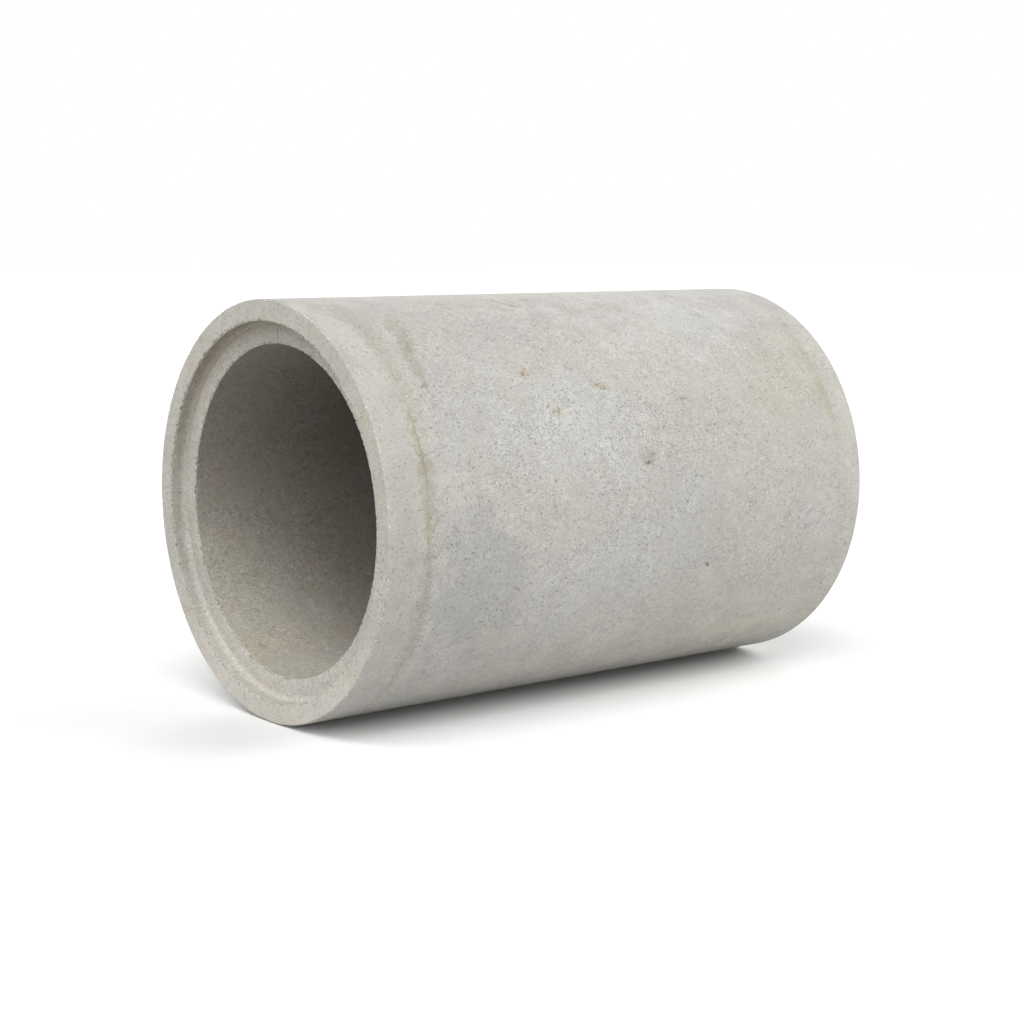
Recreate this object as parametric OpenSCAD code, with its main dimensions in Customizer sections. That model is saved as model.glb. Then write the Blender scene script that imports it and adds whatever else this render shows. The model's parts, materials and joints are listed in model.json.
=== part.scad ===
// Concrete sewer pipe with a rebated (tongue and groove) joint, cast in one piece.
// It lies on its side: the axis runs along X, the groove end faces -X and the tongue end +X.
// The origin is on the floor, under the middle of the pipe. All sizes are in millimetres.

/* [Barrel] */
// Nominal diameter of the bore
bore_d = 525; // [450:25:900]
// Thickness of the wall
wall = 70; // [65:5:100]
// Laying length, from the groove's end face to the shoulder behind the tongue
laying_length = 1000; // [600:50:2400]

/* [Joint] */
// Thickness of the rim that stays outside the groove
rim = 34.5; // [25:0.5:38]
// Depth of the groove, from the end face to its seat
groove_depth = 25; // [20:1:40]
// Radius of the fillet where the groove's wall meets its seat
root_fillet = 9; // [5:1:12]
// Room left round the tongue, for mortar or a sealing strip
joint_gap = 4; // [3:0.5:6]
// Room left between the tongue's end and the seat of the groove
seat_gap = 2; // [1:0.5:4]

/* [Edges] */
// Radius of the arrises on the end faces, the groove and the bore
arris = 2.5; // [1:0.5:4]

/* [Hidden] */
$fn = 256;
overlap = 1;                            // how far a cutting shape runs past the face it cuts
bore_r = bore_d / 2;
barrel_r = bore_r + wall;
groove_r = barrel_r - rim;
tongue_r = groove_r - joint_gap;
tongue_length = groove_depth - seat_gap;
overall_length = laying_length + tongue_length;
concrete = [0.73, 0.72, 0.69];

// In the half section, x is the distance from the pipe's axis and y the distance from the
// groove's end face. A corner is [x, y] and its way is [1 or -1, 1 or -1].

// The sliver between a square corner and the arc of radius r that rounds it. The way points
// from the corner to the arc's centre, and the sliver runs out past the corner by `past`.
module corner_sliver(corner, way, r, past = 0) {
    low = [for (i = [0, 1]) way[i] > 0 ? corner[i] - past : corner[i] - r];
    difference() {
        translate(low) square(r + past);
        translate(corner + r * way) circle(r);
    }
}

// The rebate that the next pipe's tongue enters, with its filleted root.
module groove_section() {
    difference() {
        translate([bore_r - overlap, -overlap])
            square([groove_r - bore_r + overlap, groove_depth + overlap]);
        corner_sliver([groove_r, groove_depth], [-1, -1], root_fillet, overlap);
    }
}

// The wall and the tongue, still with square arrises. The tongue's root has a fillet that
// clears the rounded mouth of the next pipe's groove.
module square_section() {
    difference() {
        union() {
            translate([bore_r, 0]) square([wall, laying_length]);
            translate([bore_r, 0]) square([tongue_r - bore_r, overall_length]);
            corner_sliver([tongue_r, laying_length], [1, 1], arris, overlap);
        }
        groove_section();
    }
}

// The half section of the whole pipe, with every outside corner rounded.
module half_section() {
    difference() {
        square_section();
        // groove end: outer edge, the groove's mouth and the bore's edge on the seat
        corner_sliver([barrel_r, 0], [-1, 1], arris, overlap);
        corner_sliver([groove_r, 0], [1, 1], arris, overlap);
        corner_sliver([bore_r, groove_depth], [1, 1], arris, overlap);
        // tongue end: the barrel's edge and the tongue's nose, rounded to clear the groove's
        // root, then the bore's edge
        corner_sliver([barrel_r, laying_length], [-1, -1], arris, overlap);
        corner_sliver([tongue_r, overall_length], [-1, -1], root_fillet, overlap);
        corner_sliver([bore_r, overall_length], [1, -1], arris, overlap);
    }
}

// The pipe, turned from its half section and laid down on the floor.
module pipe() {
    color(concrete)
        translate([-overall_length / 2, 0, barrel_r])
            rotate([0, 90, 0])
                rotate_extrude() half_section();
}

pipe();
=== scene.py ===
"""The looks of a precast concrete sewer pipe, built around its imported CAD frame.

The pipe lies along X. Its groove end faces -X and its tongue end +X, and it rests on the floor at
z = 0. Sizes are in metres, except in the tables of patches and marks, which are in millimetres and
degrees. One piece, turned from the CAD's own profile and then worn, stands for the CAD node, and
three finishes of the same concrete cover its barrel, its ends and its bore.
"""

import json
import math

import bpy
import numpy as np
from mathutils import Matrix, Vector, noise


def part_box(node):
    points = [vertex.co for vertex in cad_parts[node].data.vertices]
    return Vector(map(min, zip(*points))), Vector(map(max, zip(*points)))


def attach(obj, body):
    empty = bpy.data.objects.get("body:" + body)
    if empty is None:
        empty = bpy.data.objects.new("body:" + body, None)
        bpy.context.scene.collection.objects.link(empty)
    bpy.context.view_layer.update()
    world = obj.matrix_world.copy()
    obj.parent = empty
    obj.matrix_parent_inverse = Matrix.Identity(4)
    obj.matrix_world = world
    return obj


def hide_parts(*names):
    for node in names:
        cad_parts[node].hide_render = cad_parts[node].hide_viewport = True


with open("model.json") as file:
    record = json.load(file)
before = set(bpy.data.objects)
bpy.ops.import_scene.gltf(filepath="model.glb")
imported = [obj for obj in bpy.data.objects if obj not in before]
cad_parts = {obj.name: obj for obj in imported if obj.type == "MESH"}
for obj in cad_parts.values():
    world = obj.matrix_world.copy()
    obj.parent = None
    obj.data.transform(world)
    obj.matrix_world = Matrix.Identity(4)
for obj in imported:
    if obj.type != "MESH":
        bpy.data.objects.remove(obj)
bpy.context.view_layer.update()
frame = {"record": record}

# ---- Sizes that come from the frame ----------------------------------------------------------

mounts = {mount["name"]: mount for mount in frame["record"]["mounts"]}
pipe_low, pipe_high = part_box("pipe")


def mount_radius(name):
    return mounts[name]["dims"]["r_mm"] / 1000


axis_z = mounts["bore"]["pos_m"][2]
groove_face_x = pipe_low.x
tongue_end_x = pipe_high.x
shoulder_x = mounts["tongue_shoulder"]["pos_m"][0]
barrel_r = axis_z - pipe_low.z
bore_r = mount_radius("bore")
groove_r = mount_radius("groove")
tongue_r = mount_radius("tongue")

# ---- The profile's own sizes -----------------------------------------------------------------

GROOVE_DEPTH = 0.025  # from the end face to the seat
ARRIS = 0.0025  # radius of the arrises
ROOT_FILLET = 0.009  # radius of the groove's root and of the tongue's nose
ARC_STEPS = 3  # stretches that an arris's quarter circle is made of
FILLET_STEPS = 4
COARSE = 720  # stretches round the pipe
FINE = 2 * COARSE  # and close to an arris
FINE_REACH = 0.0038
NEAR_ENDS = (0.0015, 0.004)  # rings this far from the ends of every straight stretch
LEAST_GAP = 0.0004  # between two rings of a straight stretch

seat_x = groove_face_x + GROOVE_DEPTH

# ---- Wear ------------------------------------------------------------------------------------

SKIN = 0.0002  # the worn surface lies this far inside the cast one
TOOTH_DEPTH = 0.0036  # the fine crumbling along every arris
TOOTH_LENGTH = 0.0040
ARRIS_WEAR = (0.55, 0.3, 0.5, 0.8, 1.0, 1.0)  # from the groove end's outer arris, round the profile
CHIP_DEPTH = 0.0020  # the rarer, larger chips
CHIP_LENGTH = 0.010
CHIP_SLOPE = 0.85  # how fast a chip gets shallower away from its arris
WAVE_DEPTH = 0.0003  # the barrel's slow unevenness
WAVE_LENGTH = 0.16

# The mould's two rings leave a faint line round the barrel near each end.
SEAM_INSETS = {"groove": 0.071, "tongue": 0.054}  # from the barrel's near edge and its far edge
SEAM_WIDTH = 0.003
SEAM_DEPTH = 0.0004
SEAM_BREAK_LENGTH = 0.05  # how often it fades out on the way round
seam_near_x = groove_face_x + SEAM_INSETS["groove"]
seam_far_x = shoulder_x - SEAM_INSETS["tongue"]

# A gouge in the barrel: along the pipe from the groove's face, and round from the top.
GOUGE_X = groove_face_x + 0.508
GOUGE_ANGLE = math.radians(77.3)
GOUGE_LENGTH = 0.016
GOUGE_WIDTH = 0.007
GOUGE_TURN = math.radians(-14)
GOUGE_DEPTH = 0.0013
GOUGE_BEND = 0.18  # how far its ends bend round, as a share of its length
GOUGE_ROW_SPACING = 0.0032  # between the seven rings that carry it

# ---- The piece -------------------------------------------------------------------------------


def corner_points(corner, before, after, radius, steps):
    """The arc that rounds a corner of the profile, as points, from the side of `before`."""
    corner, before, after = (np.array(p, float) for p in (corner, before, after))
    way_in = (before - corner) / np.linalg.norm(before - corner)
    way_out = (after - corner) / np.linalg.norm(after - corner)
    centre = corner + radius * (way_in + way_out)
    turns = np.linspace(0, math.pi / 2, steps + 1)
    return [centre - radius * (way_out * math.cos(t) + way_in * math.sin(t)) for t in turns]


def stretch_points(start, end, spacing, extra=()):
    """Points on a straight stretch between two arcs: close together by its ends, then spaced.

    `extra` holds x values that get a point of their own.
    """
    length = np.linalg.norm(end - start)
    near_ends = [d for edge in NEAR_ENDS if 3 * edge < length for d in (edge, length - edge)]
    count = max(int(length / spacing), 1)
    places = set(near_ends) | {length * k / count for k in range(1, count)}
    places |= {abs(x - start[0]) for x in extra}
    kept = []
    for place in sorted(places):
        clear_of_ends = LEAST_GAP < place < length - LEAST_GAP
        if clear_of_ends and (not kept or place - kept[-1] > LEAST_GAP):
            kept.append(place)
    return [start + (end - start) * place / length for place in kept]


def build_profile():
    """The half section as (points, inward normals, distance from the arris, arris number, region).

    It runs along the barrel from the groove end, and back through the bore. A convex corner is an
    arris, which wears. A concave one is only rounded.
    """
    seam_rows = [x + k * SEAM_WIDTH / 2 for x in (seam_near_x, seam_far_x) for k in (-2, 0, 2)]
    gouge_rows = [GOUGE_X + GOUGE_ROW_SPACING * k for k in range(-3, 4)]
    # x, radius, rounding, steps, convex; then the region and the spacing up to the next corner
    corners = [
        (groove_face_x, barrel_r, ARRIS, ARC_STEPS, True, "barrel", 0.060),
        (shoulder_x, barrel_r, ARRIS, ARC_STEPS, True, "end", 0.014),
        (shoulder_x, tongue_r, ARRIS, 2, False, "end", 0.010),
        (tongue_end_x, tongue_r, ROOT_FILLET, FILLET_STEPS, True, "end", 0.014),
        (tongue_end_x, bore_r, ARRIS, ARC_STEPS, True, "bore", 0.100),
        (seat_x, bore_r, ARRIS, ARC_STEPS, True, "end", 0.010),
        (seat_x, groove_r, ROOT_FILLET, FILLET_STEPS, False, "end", 0.010),
        (groove_face_x, groove_r, ARRIS, ARC_STEPS, True, "end", 0.014),
    ]
    arcs = []
    for k, (x, r, radius, steps, *_) in enumerate(corners):
        before, after = corners[k - 1][:2], corners[(k + 1) % len(corners)][:2]
        arcs.append(corner_points((x, r), before, after, radius, steps))
    points, region, arris_at = [], [], []
    for k, arc in enumerate(arcs):
        *_, convex, name, spacing = corners[k]
        if convex:
            arris_at.append(len(points) + len(arc) // 2)
        extra = seam_rows + gouge_rows if name == "barrel" else ()
        following = arcs[(k + 1) % len(arcs)][0]
        row = arc + stretch_points(arc[-1], following, spacing, extra)
        points += row
        region += [name] * len(row)
    points = np.array(points)
    ahead, behind = np.roll(points, -1, 0) - points, points - np.roll(points, 1, 0)
    ahead /= np.linalg.norm(ahead, axis=1)[:, None]
    behind /= np.linalg.norm(behind, axis=1)[:, None]
    along = ahead + behind
    along /= np.linalg.norm(along, axis=1)[:, None]
    inward = np.c_[along[:, 1], -along[:, 0]]
    gaps = [np.linalg.norm(points - points[at], axis=1) for at in arris_at]
    nearest = np.argmin(gaps, axis=0)
    return points, inward, np.min(gaps, axis=0), nearest, region


def smoothstep(low, high, value):
    t = np.clip((value - low) / (high - low), 0, 1)
    return t * t * (3 - 2 * t)


def noise_at(points, length, shift):
    """Perlin noise, about -1 to 1, at points in metres, with features of that length."""
    offset = Vector((shift * 3.7, shift * 1.9, shift * 5.3))
    return np.array([noise.noise(Vector(point) / length + offset) for point in points])


def gouge_depth(points, angles):
    """How deep the barrel's gouge is at each point."""
    u = points[:, 0] - GOUGE_X
    v = barrel_r * (angles - GOUGE_ANGLE)
    along = u * math.cos(GOUGE_TURN) + v * math.sin(GOUGE_TURN)
    across = v * math.cos(GOUGE_TURN) - u * math.sin(GOUGE_TURN)
    across = across + GOUGE_BEND * GOUGE_LENGTH * (2 * along / GOUGE_LENGTH) ** 2
    away = np.hypot(2 * along / GOUGE_LENGTH, 2 * across / GOUGE_WIDTH)
    return GOUGE_DEPTH * (1 - smoothstep(0, 1, away))


def chip_depth(cast, arris, arris_gap):
    """How much is chipped off at each point of a ring that lies that far from its arris."""
    if TOOTH_DEPTH + CHIP_DEPTH < CHIP_SLOPE * arris_gap:
        return np.zeros(len(cast))
    ring = cast - np.array([0, 0, axis_z])
    ring[:, 0] = 1.7 * arris  # each arris has its own chips, the same on both its sides
    teeth = TOOTH_DEPTH * smoothstep(-0.15, 0.55, noise_at(ring, TOOTH_LENGTH, 1))
    chips = CHIP_DEPTH * smoothstep(0.25, 0.7, noise_at(ring, CHIP_LENGTH, 2))
    return np.maximum(ARRIS_WEAR[arris] * (teeth + chips) - CHIP_SLOPE * arris_gap, 0)


def worn_ring(point, inward, arris_gap, arris, region):
    """One ring of the worn surface, as its points and how chipped each is."""
    count = FINE if arris_gap < FINE_REACH else COARSE
    angles = np.linspace(-math.pi, math.pi, count, endpoint=False)
    sin, cos = np.sin(angles), np.cos(angles)
    x, r = point
    cast = np.c_[x + 0 * sin, -r * sin, axis_z + r * cos]
    chip = chip_depth(cast, arris, arris_gap)
    depth = SKIN + chip + WAVE_DEPTH * (0.5 + 0.5 * noise_at(cast, WAVE_LENGTH, 3))
    if region == "barrel":
        seam_gap = min(abs(x - seam_near_x), abs(x - seam_far_x))
        if seam_gap < SEAM_WIDTH:
            faint = smoothstep(-0.5, 0.3, noise_at(cast, SEAM_BREAK_LENGTH, 4))
            depth += SEAM_DEPTH * (1 - smoothstep(0, SEAM_WIDTH, seam_gap)) * faint
        depth += gouge_depth(cast, angles)
    x, r = x + inward[0] * depth, r + inward[1] * depth
    return np.c_[x, -r * sin, axis_z + r * cos], chip / (TOOTH_DEPTH + CHIP_DEPTH)


def band_faces(this, that):
    """Faces between two rings of vertex numbers, where one may have twice as many as the other."""
    if len(this) == len(that):
        return np.stack([this, that, np.roll(that, -1), np.roll(this, -1)], -1).tolist()
    coarse, fine = (this, that) if len(this) < len(that) else (that, this)
    corner, next_corner = coarse, np.roll(coarse, -1)
    first, middle, last = fine[::2], fine[1::2], np.roll(fine[::2], -1)
    triangles = [(corner, first, middle), (corner, middle, next_corner), (next_corner, middle, last)]
    if coarse is that:
        triangles = [t[::-1] for t in triangles]
    return [face for t in triangles for face in np.stack(t, -1).tolist()]


def build_pipe():
    """The pipe's mesh: the profile, turned about the axis and worn."""
    rows = list(zip(*build_profile()))
    rings, chips = zip(*(worn_ring(*row) for row in rows))
    starts = np.cumsum([0] + [len(ring) for ring in rings])
    numbers = [np.arange(a, b) for a, b in zip(starts[:-1], starts[1:])]
    slots = {"barrel": 0, "end": 1, "bore": 2}
    faces, slot_of_face = [], []
    for k, (*_, region) in enumerate(rows):
        band = band_faces(numbers[k], numbers[(k + 1) % len(rows)])
        faces += band
        slot_of_face += [slots[region]] * len(band)

    mesh = bpy.data.meshes.new("concrete_pipe")
    mesh.from_pydata(np.concatenate(rings).tolist(), [], faces)
    mesh.attributes.new("chip", "FLOAT", "POINT").data.foreach_set("value", np.concatenate(chips))
    mesh.polygons.foreach_set("material_index", slot_of_face)
    mesh.polygons.foreach_set("use_smooth", [True] * len(faces))
    mesh.validate()
    pipe = bpy.data.objects.new("concrete_pipe", mesh)
    bpy.context.scene.collection.objects.link(pipe)
    return pipe


# ---- Materials -------------------------------------------------------------------------------


class Graph:
    """Short calls that add nodes to one material."""

    def __init__(self, name):
        self.material = bpy.data.materials.new(name)
        self.material.use_nodes = True
        self.nodes, self.links = self.material.node_tree.nodes, self.material.node_tree.links
        self.shader = self.nodes["Principled BSDF"]
        self.place = self.add("ShaderNodeTexCoord").outputs["Object"]

    def add(self, kind, inputs=None, **settings):
        node = self.nodes.new(kind)
        for name, value in settings.items():
            setattr(node, name, value)
        for name, value in (inputs or {}).items():
            self.feed(node.inputs[name], value)
        return node

    def feed(self, socket, value):
        if isinstance(value, bpy.types.NodeSocket):
            self.links.new(value, socket)
        else:
            socket.default_value = value

    def math(self, operation, a, b=0.0, c=0.0):
        return self.add("ShaderNodeMath", {0: a, 1: b, 2: c}, operation=operation).outputs[0]

    def mapped(self, vector, kind="POINT", location=(0, 0, 0), turn=0.0, scale=(1, 1, 1)):
        inputs = {"Vector": vector, "Location": location, "Rotation": (0, 0, turn), "Scale": scale}
        return self.add("ShaderNodeMapping", inputs, vector_type=kind).outputs[0]

    def noise(self, length, shift=0.0, detail=2.0, roughness=0.5):
        """Noise around 0.5, with features of that length in metres."""
        inputs = {
            "Vector": self.mapped(self.place, location=(shift, shift * 0.7, shift * 1.3)),
            "Scale": 1 / length,
            "Detail": detail,
            "Roughness": roughness,
        }
        return self.add("ShaderNodeTexNoise", inputs).outputs["Fac"]

    def swing(self, length, shift, detail, roughness, amount):
        """Noise around 0 that runs from about -amount / 2 to amount / 2."""
        return self.about_zero(self.noise(length, shift, detail, roughness), amount)

    def about_zero(self, value, amount):
        """A value around 0.5, moved to be around 0 and multiplied by amount."""
        return self.math("MULTIPLY_ADD", value, amount, -amount / 2)

    def dots(self, spacing, size, share, shift, ragged):
        """1 inside ragged dots of up to that size, in a share of the cells, fading to 0 outside."""
        inputs = {"Vector": self.mapped(self.place, location=(shift, shift, shift)), "Scale": 1 / spacing}
        cells = self.add("ShaderNodeTexVoronoi", inputs)
        pick = self.add("ShaderNodeSeparateColor", {"Color": cells.outputs["Color"]})
        wanted = self.math("LESS_THAN", pick.outputs["Red"], share)
        share_of_cell = size / spacing
        radius = self.math("MULTIPLY_ADD", pick.outputs["Green"], 0.3 * share_of_cell, 0.2 * share_of_cell)
        inside = self.math("ADD", self.math("DIVIDE", cells.outputs["Distance"], radius), ragged)
        return self.math("MULTIPLY", self.step(inside, 1.15, 0.55), wanted)

    def step(self, value, low, high, to_low=0.0, to_high=1.0):
        """Smoothly from to_low where value is low to to_high where it is high."""
        inputs = {"Value": value, "From Min": low, "From Max": high, "To Min": to_low, "To Max": to_high}
        return self.add("ShaderNodeMapRange", inputs, interpolation_type="SMOOTHSTEP").outputs[0]

    def tint(self, colour, factor, other, blend="MULTIPLY"):
        """colour, multiplied by other as far as factor says, or with another blend."""
        node = self.add("ShaderNodeMix", data_type="RGBA", blend_type=blend)
        for at, value in ((0, factor), (6, colour), (7, other)):
            if not isinstance(value, bpy.types.NodeSocket) and at > 0:
                value = (*value, 1)
            self.feed(node.inputs[at], value)
        return node.outputs[2]

    def shade(self, colour, factor):
        """colour times a number."""
        node = self.add("ShaderNodeVectorMath", {"Vector": colour, "Scale": factor}, operation="SCALE")
        return node.outputs[0]

    def spot(self, flat, x, angle, length, width, turn, ragged):
        """1 inside an ellipse on the unrolled barrel, fading to 0 past its ragged edge.

        x is from the groove's face, and the angle in degrees from the top. The sizes are in
        millimetres, and the turn is in degrees.
        """
        return self.fade(self.ellipse(flat, x, angle, barrel_r, length, width, turn), ragged)

    def fade(self, away, ragged):
        """1 well inside an ellipse and 0 outside it, from how far away its middle is."""
        return self.step(self.math("ADD", away, ragged), 1.35, 0.45)

    def ellipse(self, flat, x, angle, radius, length, width, turn):
        """How far a point on a flattened surface is from an ellipse's middle: 1 on the ellipse."""
        centre = (x / 1000, radius * math.radians(angle), 0)
        half = (length / 2000, width / 2000, 1)
        local = self.mapped(flat, "TEXTURE", centre, math.radians(turn), half)
        return self.add("ShaderNodeVectorMath", {"Vector": local}, operation="LENGTH").outputs["Value"]


PASTE = (0.338, 0.329, 0.305)  # the concrete's own grey
END_PASTE = (0.340, 0.325, 0.294)
BORE_PASTE = (0.288, 0.272, 0.236)
PALE = (0.66, 0.65, 0.62)  # freshly chipped
DARK = (0.10, 0.097, 0.088)
SHADED = (0.20, 0.19, 0.165)  # painted shade in the crumbled teeth along the ends' and the bore's arrises

# What stains, and the painted light and shade in the groove and at the foot of the end faces, multiply the
# concrete's colour by.
OLIVE = (0.86, 0.85, 0.79)
DEEP_OLIVE = (0.80, 0.785, 0.72)
YELLOWISH = (0.985, 0.975, 0.92)
BROWN = (0.73, 0.68, 0.60)
GOUGE_DARK = (0.56, 0.54, 0.52)
# Darker along the gouge's hollow.
SEAM_DIRT = (0.90, 0.88, 0.84)
WARMER = (1.01, 1.0, 0.98)
COOLER = (0.99, 0.995, 1.005)
GROOVE_WALL_PAINTED_LIGHT = (1.06, 1.06, 1.06)  # painted light on the groove's wall
# Painted shade on the groove's wall high up, olive-tinted.
GROOVE_WALL_PAINTED_SHADE = (0.73, 0.705, 0.64)
# Painted shade along the groove's root.
ROOT_PAINTED_SHADE = (0.86, 0.84, 0.80)
# Painted shade on the seat's crown, under the rim.
CROWN_PAINTED_SHADE = (0.66, 0.645, 0.60)
END_PAINTED_LIGHT = (1.24, 1.24, 1.24)  # painted light at the foot of the end faces

# The grain: its lengths, its strength, how much each part changes the tone, and each relief.
SAND_LENGTH = 0.0030
GRIT_LENGTH = 0.0105
CLOUD_LENGTH = 0.055
GRAIN_PATCH_LENGTH = 0.07  # the grain is stronger in some patches than in others
GRAIN_PATCH_STRENGTHS = (0.70, 1.25)
BARREL_GRAIN = 0.74  # how strong the grain is on each finish
COARSE_GRAIN = 0.32  # added to that inside COARSE_AREA
NEAR_END_GRAIN = 0.6  # times that beside the groove end
END_GRAIN = 0.8
BORE_GRAIN = 1.25
SAND_TONE = 0.95
GRIT_TONE = 0.399
CLOUD_TONE = 0.24
AIR_HOLE_DARKNESS = 0.30
SAND_RELIEF = 0.00045
GRIT_RELIEF = 0.0009
CLOUD_RELIEF = 0.0010
AIR_HOLE_RELIEF = 0.0007
AIR_HOLES = ((0.0048, 0.0028, 0.6, 5.0), (0.016, 0.0044, 0.25, 9.0))  # as Graph.dots takes them
TROWEL_STROKE = (0.016, 0.0024)  # along the radius and across it
TROWEL_TONES = (0.94, 1.05)

# The barrel's seams: how wide the dirt on each line is, and how strong on the near and far one.
SEAM_LINE = (0.0035, 0.0008)
NEAR_SEAM = 0.9
FAR_SEAM = 0.35

# Where the groove gets painted light and shade, and the ends painted light low down: how far in from its
# wall's radius, and how high above the axis.
WALL_BAND = (0.0085, 0.0035)
ROOT_LINE = 0.0055
CROWN_BAND = (0.024, 0.004)
WALL_HEIGHTS = (-0.04, 0.26)
CROWN_HEIGHTS = (0.17, 0.285)
END_PAINTED_LIGHT_HEIGHTS = (-0.12, -0.29)

# The bore's painted shade, as tones: at its bottom and its top, and at mid-length and its ends.
BORE_PAINTED_SHADE_BY_HEIGHT = (1.30, 0.66)
BORE_PAINTED_SHADE_BY_DEPTH = (0.60, 1.0)

# Soft patches on the ends and in the bore: noise threshold, shift, and factor.
END_PATCHES = ((0.52, 21.0, (1.01, 0.99, 0.975)), (0.53, 22.0, (0.97, 0.97, 0.92)))
BORE_PATCHES = ((0.50, 31.0, (1.02, 0.985, 0.965)), (0.52, 32.0, (0.985, 0.985, 0.935)))

# Where the barrel's grain is at its strongest: x, angle, length and width, as below.
COARSE_AREA = (420, 68, 560, 330)

# Broad patches on the barrel: x from the groove's face, angle from the top, length along the
# pipe, width round it, turn, and what they multiply the colour by.
PATCHES = (
    (350, 65, 330, 200, 0, (1.03, 1.045, 1.07)),
    (165, 108, 190, 260, 0, (0.885, 0.895, 0.91)),
    (400, 112, 240, 280, 0, (1.03, 1.04, 1.055)),
    (500, 2, 1150, 240, 0, (1.07, 1.065, 1.065)),
    (640, 31, 380, 170, 0, (1.06, 1.065, 1.075)),
    (660, 64, 330, 90, 0, (0.975, 0.968, 0.962)),
    (190, 60, 210, 170, 0, (0.95, 0.957, 0.97)),
    (600, 93, 240, 220, 0, (0.965, 0.975, 0.985)),
    (855, 57, 150, 190, 10, YELLOWISH),
    (943, 50, 60, 260, 0, (0.995, 0.99, 0.95)),
    (850, 134, 370, 150, 0, (1.05, 1.04, 1.00)),
    (560, 140, 700, 110, 0, (1.07, 1.06, 1.04)),
    (910, 97, 90, 120, 0, (1.03, 1.03, 1.04)),
    (30, 100, 60, 420, 0, (0.955, 0.945, 0.935)),
    (30, 32, 60, 240, 0, (1.10, 1.10, 1.10)),
    (780, 20, 560, 230, 0, (1.05, 1.055, 1.07)),
    (985, 70, 44, 800, 0, (1.05, 1.045, 1.04)),
    (300, -75, 380, 260, 20, (1.03, 1.035, 1.045)),
    (720, -50, 300, 220, -15, (0.94, 0.945, 0.955)),
    (820, -110, 260, 240, 0, YELLOWISH),
    (150, -120, 200, 260, 0, (0.92, 0.925, 0.93)),
)

# Small marks on the barrel, in the same terms.
MARKS = (
    (73, 38, 36, 270, 0, (0.93, 0.92, 0.87)),  # stains along the near seam
    (75, 66, 30, 130, 0, (0.94, 0.93, 0.89)),
    (75, 80, 32, 150, 0, (0.86, 0.85, 0.79)),
    (72, 115, 26, 290, 0, (0.87, 0.86, 0.83)),
    (64, 84, 12, 360, 0, (1.01, 1.00, 0.94)),
    (73, 70, 6, 120, -2, (0.88, 0.84, 0.78)),
    (136, 31, 34, 90, 8, OLIVE),  # a second streak beside it
    (120, 43, 24, 110, 4, OLIVE),
    (120, 51, 9, 10, 0, DEEP_OLIVE),
    (944, 52, 18, 230, 0, (0.95, 0.935, 0.89)),  # stains along the far seam
    (947, 63, 14, 80, 0, (0.93, 0.91, 0.87)),
    (314, 49, 24, 20, 0, (0.90, 0.84, 0.74)),  # a pinkish brown mark
    (309, 49, 4, 12, 25, BROWN),
    (319, 47.6, 8, 3, 20, BROWN),
    (452, 54.5, 30, 14, 10, (0.90, 0.86, 0.74)),  # a yellow-brown smear with two dots
    (447, 54, 6, 5, 0, BROWN),
    (459, 55.2, 6, 4, 0, BROWN),
    (350, 60.5, 20, 22, -30, (0.92, 0.89, 0.80)),  # a smear with a thin dash
    (351, 61, 4, 11, 18, BROWN),
    (376, 22, 50, 30, 30, (0.98, 0.96, 0.89)),  # a streak near the top
    (396, 15, 46, 7, 55, (0.80, 0.77, 0.70)),
    (407, 18, 12, 8, 55, (0.70, 0.67, 0.60)),
    (40, 75, 5, 11, 0, (1.13, 1.13, 1.13)),  # a pale dash beside the near arris
    (510, 76, 40, 26, -20, (0.88, 0.86, 0.83)),  # the gouge, darker along its hollow, and the smudge round it
    (509, 77.3, 19, 6, -10, (0.66, 0.64, 0.62)),
    (507, 77.5, 11, 5, -8, GOUGE_DARK),
    (518, 75.3, 16, 8, -30, (0.84, 0.82, 0.79)),
    (498, 79.8, 8, 7, 30, (0.82, 0.80, 0.78)),
    (649, 108.6, 8, 7, 40, (0.52, 0.48, 0.42)),  # small dark marks
    (248, 108, 16, 5, 30, (0.78, 0.77, 0.75)),
    (540, 61, 30, 12, 20, (0.90, 0.87, 0.81)),
    (617, 60, 22, 10, -15, (0.89, 0.87, 0.82)),
    (456, 13, 20, 14, -30, (0.90, 0.87, 0.83)),
    (74, -60, 24, 300, 0, (0.90, 0.89, 0.84)),  # stains and marks on the far side
    (946, -80, 12, 260, 0, (0.92, 0.90, 0.86)),
    (420, -58, 26, 14, 25, (0.90, 0.86, 0.76)),
    (424, -58, 7, 4, 10, BROWN),
    (640, -96, 12, 6, -30, (0.60, 0.56, 0.50)),
    (230, -88, 14, 6, 30, (0.72, 0.69, 0.64)),
    (790, -38, 22, 12, 0, (0.90, 0.87, 0.80)),
)

# Marks on the end faces and the seat, the same on both ends: angle from the top, distance from
# the axis, length along the radius, width across it, turn, and what they multiply the colour by.
END_MARKS = (
    (0.5, 279, 22, 4, 0, (0.72, 0.69, 0.62)),
    (-13, 283, 16, 3, 0, (0.85, 0.83, 0.78)),
    (-24, 280, 20, 5, 8, (0.90, 0.88, 0.84)),
    (-8, 318, 9, 3, 10, (0.86, 0.84, 0.80)),
    (-36, 322, 12, 3, -12, (0.88, 0.85, 0.80)),
    (24, 316, 7, 4, 0, (0.84, 0.81, 0.75)),
    (96, 318, 6, 5, 0, (0.80, 0.77, 0.71)),
    (-128, 314, 14, 20, 0, (1.02, 0.96, 0.90)),
    (-166, 312, 9, 6, 0, (0.82, 0.79, 0.72)),
    (60, 281, 5, 6, 0, (0.82, 0.80, 0.76)),
    (150, 275, 14, 4, 0, (0.86, 0.84, 0.80)),
)
SMALL_MARK = 30  # millimetres: the edges of smaller marks are ragged on a finer scale


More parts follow.
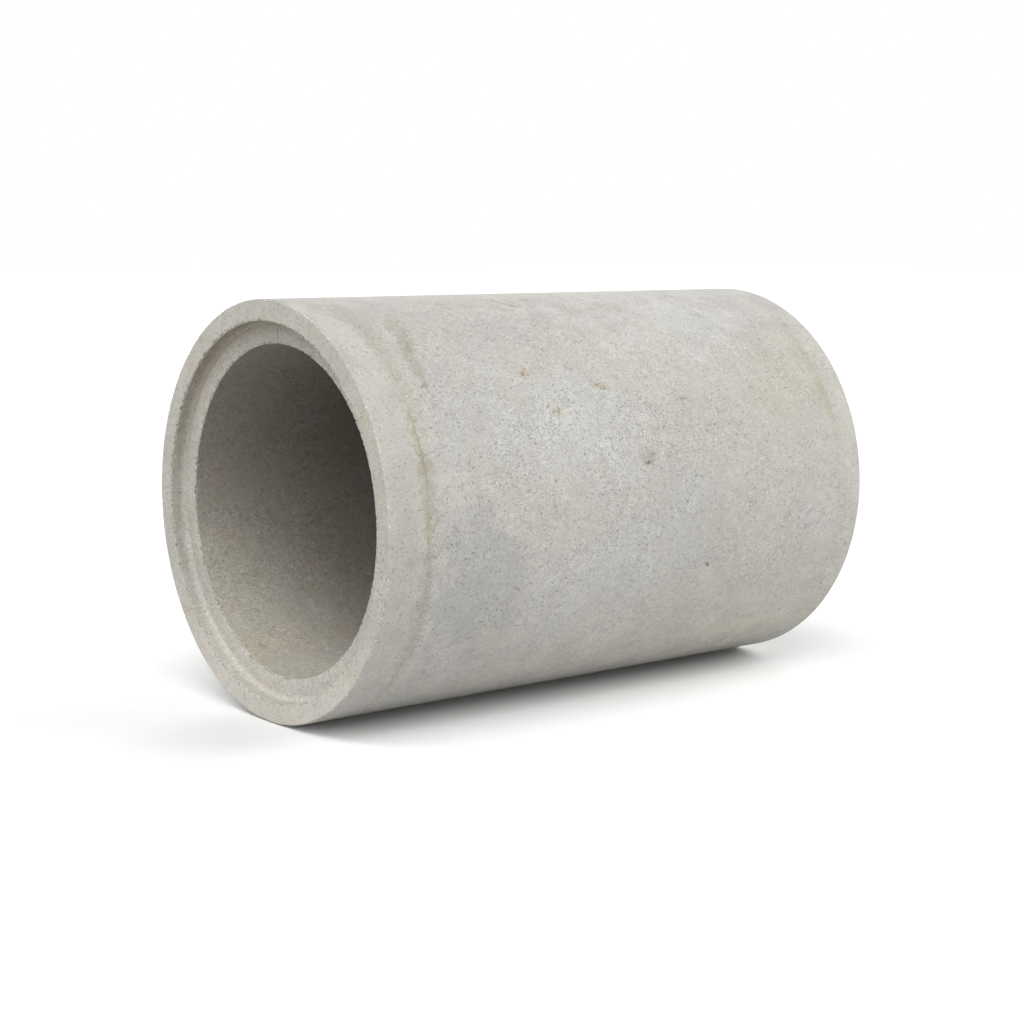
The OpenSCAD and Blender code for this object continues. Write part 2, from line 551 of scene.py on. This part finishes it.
def concrete(g, base, strength, chipped):
    """The same concrete everywhere: paste, clouding, grit, sand, air holes and chipped arrises.

    `strength` is how strong the grain is, and `chipped` the colour of the chipped arrises: pale on the
    barrel, painted shade on the ends and in the bore.
    Returns the colour, the sand and the relief, for a finish to add to.
    """
    sand = g.noise(SAND_LENGTH, 4.0, 2, 0.7)
    grit = g.noise(GRIT_LENGTH, 6.0, 2, 0.6)
    cloud = g.noise(CLOUD_LENGTH, 3.0, 3, 0.55)
    patchy = g.step(g.noise(GRAIN_PATCH_LENGTH, 8.0, 3, 0.6), 0.36, 0.64, *GRAIN_PATCH_STRENGTHS)
    patchy = g.math("MULTIPLY", patchy, strength)
    grain = g.math("ADD", g.about_zero(sand, SAND_TONE), g.about_zero(grit, GRIT_TONE))
    tone = g.math("MULTIPLY_ADD", grain, patchy, 1.0)
    tone = g.math("ADD", tone, g.about_zero(cloud, CLOUD_TONE))
    colour = g.shade(base_mottled(g, base), tone)
    ragged = g.about_zero(sand, 5.0)
    holes = 0.0
    for spacing, size, share, shift in AIR_HOLES:
        holes = g.math("MAXIMUM", g.dots(spacing, size, share, shift, ragged), holes)
    darkened = g.math("MULTIPLY", holes, g.math("MULTIPLY", patchy, AIR_HOLE_DARKNESS))
    colour = g.tint(colour, darkened, DARK, "MIX")
    chip = g.add("ShaderNodeAttribute", attribute_name="chip").outputs["Fac"]
    # Chipped spots take that colour: pale fresh concrete on the barrel, painted shade on the ends and in
    # the bore.
    chip_spots = g.math("MULTIPLY", g.step(chip, 0.06, 0.28), g.step(grit, 0.38, 0.52, 0.0, 0.85))
    colour = g.tint(colour, chip_spots, chipped, "MIX")
    height = g.math("MULTIPLY", holes, -AIR_HOLE_RELIEF)
    for noise_value, relief in ((sand, SAND_RELIEF), (grit, GRIT_RELIEF), (cloud, CLOUD_RELIEF)):
        height = g.math("MULTIPLY_ADD", noise_value, relief, height)
    return colour, sand, height


def base_mottled(g, base):
    """The paste's colour, a little warmer and cooler from place to place."""
    colour = base
    for length, shift, factor in ((0.18, 1.0, WARMER), (0.16, 2.0, COOLER)):
        colour = g.tint(colour, g.step(g.noise(length, shift, 2), 0.48, 0.70), factor)
    return colour


def mottled(g, colour, length, detail, roughness, patches):
    """Soft patches of other tints, each as a noise threshold, the noise's shift and a factor."""
    for threshold, shift, factor in patches:
        patch = g.step(g.noise(length, shift, detail, roughness), threshold, threshold + 0.12)
        colour = g.tint(colour, patch, factor)
    return colour


def finish_material(g, colour, grain, height):
    """Joins the colour, the roughness and the relief to the shader."""
    g.feed(g.shader.inputs["Base Color"], colour)
    g.feed(g.shader.inputs["Roughness"], g.step(grain, 0.3, 0.7, 0.98, 0.86))
    g.feed(g.shader.inputs["Specular IOR Level"], 0.25)
    bump = g.add("ShaderNodeBump", {"Strength": 1.0, "Distance": 1.0, "Height": height})
    g.feed(g.shader.inputs["Normal"], bump.outputs["Normal"])
    return g.material


def cylindrical(g):
    """x from the groove's face, the angle from the top towards -Y, the radius and the height.

    The radius and the height are both measured from the pipe's axis.
    """
    split = g.add("ShaderNodeSeparateXYZ", {"Vector": g.place})
    x = g.math("SUBTRACT", split.outputs["X"], groove_face_x)
    up = g.math("SUBTRACT", split.outputs["Z"], axis_z)
    angle = g.math("ARCTAN2", g.math("MULTIPLY", split.outputs["Y"], -1.0), up)
    squares = g.math("ADD", g.math("POWER", split.outputs["Y"], 2.0), g.math("POWER", up, 2.0))
    return x, angle, g.math("SQRT", squares), up


def barrel_material():
    """Grey, with one area of coarser grain, broad patches, small marks and two faint seams."""
    g = Graph("concrete_barrel")
    x, angle, _, _ = cylindrical(g)
    around = g.math("MULTIPLY", angle, barrel_r)
    flat = g.add("ShaderNodeCombineXYZ", {"X": x, "Y": around}).outputs[0]
    broad = g.swing(0.050, 11.0, 3, 0.6, 3.2)
    in_coarse_area = g.spot(flat, *COARSE_AREA, 0, broad)
    coarse = g.math("MULTIPLY_ADD", in_coarse_area, COARSE_GRAIN, BARREL_GRAIN)
    strength = g.math("MULTIPLY", coarse, g.step(x, 0.035, 0.075, NEAR_END_GRAIN, 1.0))
    colour, grain, height = concrete(g, PASTE, strength, PALE)
    middling = g.swing(0.012, 12.0, 3, 0.65, 2.8)
    narrow = g.swing(0.0045, 13.0, 2, 0.6, 2.2)
    for x_mm, degrees, length, width, turn, factor in PATCHES:
        colour = g.tint(colour, g.spot(flat, x_mm, degrees, length, width, turn, broad), factor)
    for x_mm, degrees, length, width, turn, factor in MARKS:
        edge = narrow if max(length, width) < SMALL_MARK else middling
        colour = g.tint(colour, g.spot(flat, x_mm, degrees, length, width, turn, edge), factor)
    for seam_x, faint in ((seam_near_x, NEAR_SEAM), (seam_far_x, FAR_SEAM)):
        gap = g.math("ABSOLUTE", g.math("SUBTRACT", x, seam_x - groove_face_x))
        broken = g.step(middling, -0.3, 0.4, 0.0, faint)
        line = g.math("MULTIPLY", g.step(gap, *SEAM_LINE), broken)
        colour = g.tint(colour, line, SEAM_DIRT)
    return finish_material(g, colour, grain, height)


def end_material():
    """Beige, with olive-tinted painted shade at the groove's top, radial trowel marks, and painted light
    low down.
    """
    g = Graph("concrete_end")
    x, angle, radius, up = cylindrical(g)
    colour, grain, height = concrete(g, END_PASTE, END_GRAIN, SHADED)
    around = g.math("MULTIPLY", angle, groove_r)
    flat = g.add("ShaderNodeCombineXYZ", {"X": radius, "Y": around}).outputs[0]
    colour = mottled(g, colour, 0.035, 3, 0.6, END_PATCHES)
    strokes = g.mapped(flat, scale=(1 / TROWEL_STROKE[0], 1 / TROWEL_STROKE[1], 1))
    strokes = g.add("ShaderNodeTexNoise", {"Vector": strokes, "Scale": 1.0, "Detail": 1.0})
    colour = g.shade(colour, g.step(strokes.outputs["Fac"], 0.25, 0.75, *TROWEL_TONES))
    # Painted light and shade in the groove.
    colour = groove_painted_light_and_shade(g, colour, x, radius, up)
    # Painted light at the foot of the ends, stronger at the groove end.
    lit_low = g.math("MULTIPLY", g.step(up, *END_PAINTED_LIGHT_HEIGHTS), g.step(x, 0.9, 0.1, 0.3, 1.0))
    colour = g.tint(colour, lit_low, END_PAINTED_LIGHT)

    ragged = g.swing(0.006, 12.0, 2, 0.6, 2.2)
    for degrees, radius_mm, length, width, turn, factor in END_MARKS:
        away = g.ellipse(flat, radius_mm, degrees, groove_r, length, width, turn)
        colour = g.tint(colour, g.fade(away, ragged), factor)
    return finish_material(g, colour, grain, height)


def groove_painted_light_and_shade(g, colour, x, radius, up):
    """Painted light and shade in the groove: its wall pale low down and dark above, a dark line at its
    root, a dark crown.
    """
    past_mouth = g.step(x, 0.0015, 0.004)
    before_bore = g.step(x, GROOVE_DEPTH + 0.006, GROOVE_DEPTH)
    in_groove = g.math("MULTIPLY", past_mouth, before_bore)
    inset = g.math("SUBTRACT", groove_r, radius)
    on_wall = g.math("MULTIPLY", in_groove, g.step(inset, *WALL_BAND))
    # Painted light on the groove's wall.
    colour = g.tint(colour, on_wall, GROOVE_WALL_PAINTED_LIGHT)
    # Painted shade on the upper part of the wall.
    high = g.step(up, *WALL_HEIGHTS)
    colour = g.tint(colour, g.math("MULTIPLY", on_wall, high), GROOVE_WALL_PAINTED_SHADE)
    # A line of painted shade along the root, high up.
    root_gap = g.math("ABSOLUTE", g.math("SUBTRACT", inset, ROOT_LINE))
    at_root = g.math("MULTIPLY", g.step(root_gap, 0.0035, 0.0005), in_groove)
    colour = g.tint(colour, g.math("MULTIPLY", at_root, high), ROOT_PAINTED_SHADE)
    # Painted shade on the seat's crown, under the rim.
    near_root = g.step(inset, *CROWN_BAND, 0.50, 1.0)
    near_root = g.math("MULTIPLY", near_root, g.math("MULTIPLY_ADD", on_wall, -0.6, 1.0))
    crown = g.math("MULTIPLY", g.step(up, *CROWN_HEIGHTS), near_root)
    return g.tint(colour, g.math("MULTIPLY", crown, in_groove), CROWN_PAINTED_SHADE)


def bore_material():
    """Painted shade: pale along the bottom and near the ends, dark and brownish overhead and inside."""
    g = Graph("concrete_bore")
    x, _, _, up = cylindrical(g)
    colour, grain, height = concrete(g, BORE_PASTE, BORE_GRAIN, SHADED)
    colour = mottled(g, colour, 0.09, 2, 0.5, BORE_PATCHES)
    # Painted shade: darker towards the top of the bore.
    share_up = g.math("MULTIPLY", up, 1 / bore_r)
    colour = g.shade(colour, g.step(share_up, -1.0, 0.7, *BORE_PAINTED_SHADE_BY_HEIGHT))
    # Painted shade: darker towards the middle of the bore's length.
    from_middle = g.math("ABSOLUTE", g.math("SUBTRACT", x, (tongue_end_x - groove_face_x) / 2))
    colour = g.shade(colour, g.step(from_middle, 0.12, 0.48, *BORE_PAINTED_SHADE_BY_DEPTH))
    return finish_material(g, colour, grain, height)


# ---- Stage, light and camera -----------------------------------------------------------------

FLOOR_SIZE = 80.0
FLOOR_GREY = 0.79

# Soft boxes, all far away: tilt from overhead, azimuth from +X towards +Y, and strength.
SOFTBOXES = (
    (30, 180, 0.345),
    (30, 240, 0.345),
    (55, 225, 0.23),
    (55, 315, 0.415),
    (76, 0, 0.55),
    (76, 45, 0.65),
    (76, 180, 0.24),
    (76, 270, 0.12),
)
SOFTBOX_SPREAD = math.radians(30)
SKY_LOW = 1.0  # the white band behind the pipe
SKY_HIGH = 0.2
BAND_TOP = math.radians(8.5)
BAND_FADE = math.radians(20)

CAMERA_AZIMUTH = math.radians(-38.73)  # 0 looks along +Y
CAMERA_ELEVATION = math.radians(7.85)
CAMERA_DISTANCE = 3.408
CAMERA_LENS = 70.05  # millimetres, on a 36 mm sensor
CAMERA_TARGET = Vector((groove_face_x + 0.4907, 0, 0.2927))


def build_floor():
    half = FLOOR_SIZE / 2
    corners = [(-half, -half, 0), (half, -half, 0), (half, half, 0), (-half, half, 0)]
    mesh = bpy.data.meshes.new("floor")
    mesh.from_pydata(corners, [], [(0, 1, 2, 3)])
    floor = bpy.data.objects.new("floor", mesh)
    bpy.context.scene.collection.objects.link(floor)
    material = bpy.data.materials.new("floor_white")
    material.use_nodes = True
    shader = material.node_tree.nodes["Principled BSDF"]
    shader.inputs["Base Color"].default_value = (FLOOR_GREY, FLOOR_GREY, FLOOR_GREY, 1)
    shader.inputs["Roughness"].default_value = 1.0
    shader.inputs["Specular IOR Level"].default_value = 0.0
    mesh.materials.append(material)


def build_sky():
    """A pale surround: white just above the horizon, and dimmer overhead."""
    world = bpy.data.worlds.new("studio")
    world.use_nodes = True
    nodes, links = world.node_tree.nodes, world.node_tree.links
    way = nodes.new("ShaderNodeTexCoord")
    split = nodes.new("ShaderNodeSeparateXYZ")
    fade = nodes.new("ShaderNodeMapRange")
    fade.interpolation_type = "SMOOTHSTEP"
    for name, value in (
        ("From Min", math.sin(BAND_TOP)),
        ("From Max", math.sin(BAND_FADE)),
        ("To Min", SKY_LOW),
        ("To Max", SKY_HIGH),
    ):
        fade.inputs[name].default_value = value
    links.new(way.outputs["Generated"], split.inputs[0])
    links.new(split.outputs["Z"], fade.inputs["Value"])
    nodes["Background"].inputs["Color"].default_value = (1, 1, 1, 1)
    links.new(fade.outputs[0], nodes["Background"].inputs["Strength"])
    bpy.context.scene.world = world


def build_softboxes():
    for k, (tilt, azimuth, strength) in enumerate(SOFTBOXES):
        tilt, azimuth = math.radians(tilt), math.radians(azimuth)
        level = math.sin(tilt)
        towards = Vector((level * math.cos(azimuth), level * math.sin(azimuth), math.cos(tilt)))
        light = bpy.data.lights.new(f"softbox_{k}", "SUN")
        light.energy = math.pi * strength
        light.angle = SOFTBOX_SPREAD
        lamp = bpy.data.objects.new(f"softbox_{k}", light)
        lamp.rotation_euler = towards.to_track_quat("Z", "Y").to_euler()
        bpy.context.scene.collection.objects.link(lamp)


def build_camera():
    camera = bpy.data.objects.new("camera", bpy.data.cameras.new("camera"))
    camera.data.lens = CAMERA_LENS
    camera.data.sensor_width = 36
    level = math.cos(CAMERA_ELEVATION)
    back = Vector((
        math.sin(CAMERA_AZIMUTH) * level,
        -math.cos(CAMERA_AZIMUTH) * level,
        math.sin(CAMERA_ELEVATION),
    ))
    camera.location = CAMERA_TARGET + CAMERA_DISTANCE * back
    camera.rotation_euler = (-back).to_track_quat("-Z", "Y").to_euler()
    bpy.context.scene.collection.objects.link(camera)
    bpy.context.scene.camera = camera


bpy.context.scene.view_settings.view_transform = "Standard"
build_camera()
build_sky()
build_softboxes()
build_floor()
pipe = build_pipe()
for material in (barrel_material(), end_material(), bore_material()):
    pipe.data.materials.append(material)
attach(pipe, "root")
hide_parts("pipe")
